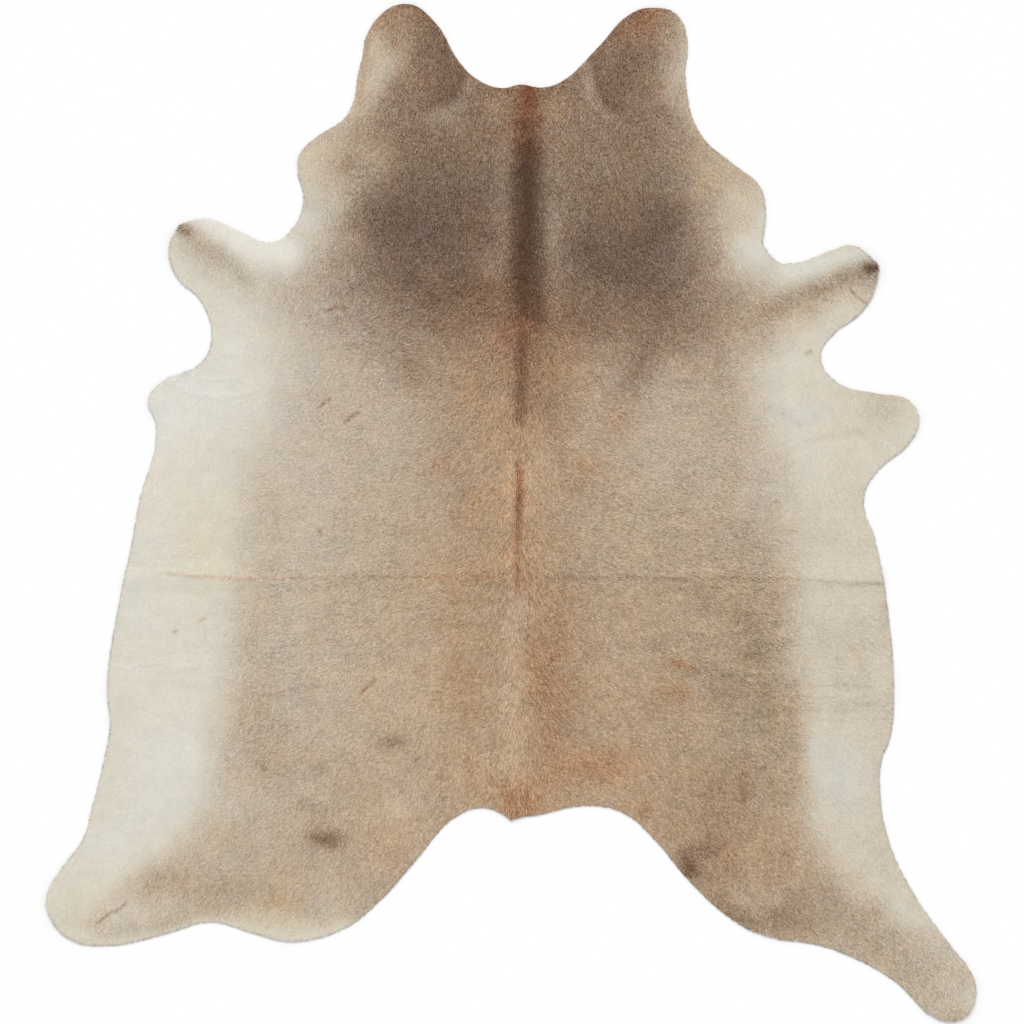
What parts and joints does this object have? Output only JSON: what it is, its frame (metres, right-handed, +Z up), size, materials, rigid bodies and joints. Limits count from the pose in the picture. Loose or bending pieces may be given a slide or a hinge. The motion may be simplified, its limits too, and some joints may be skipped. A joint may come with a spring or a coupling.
{
  "type": "cowhide rug",
  "caption": "Whole cowhide floor rug with cheeks, shoulders, legs and tail root, short taupe coat paling to cream at the belly, laid flat.",
  "frame": {"origin": "on the floor, under the middle of the hide's box", "axes": "+Y runs along the spine from the tail root to the neck, +X to the right of the hide seen from above with the neck up, +Z up out of the coat"},
  "size_m": [2.095, 2.292, 0.0137],
  "materials": {
    "coat": "short natural hair coat with a soft satin sheen, taupe with dark shoulders and cream belly",
    "flesh_side": "undyed suede underside and cut edge"
  },
  "bodies": {
    "root": {"hide": "coat"}
  },
  "joints": []
}
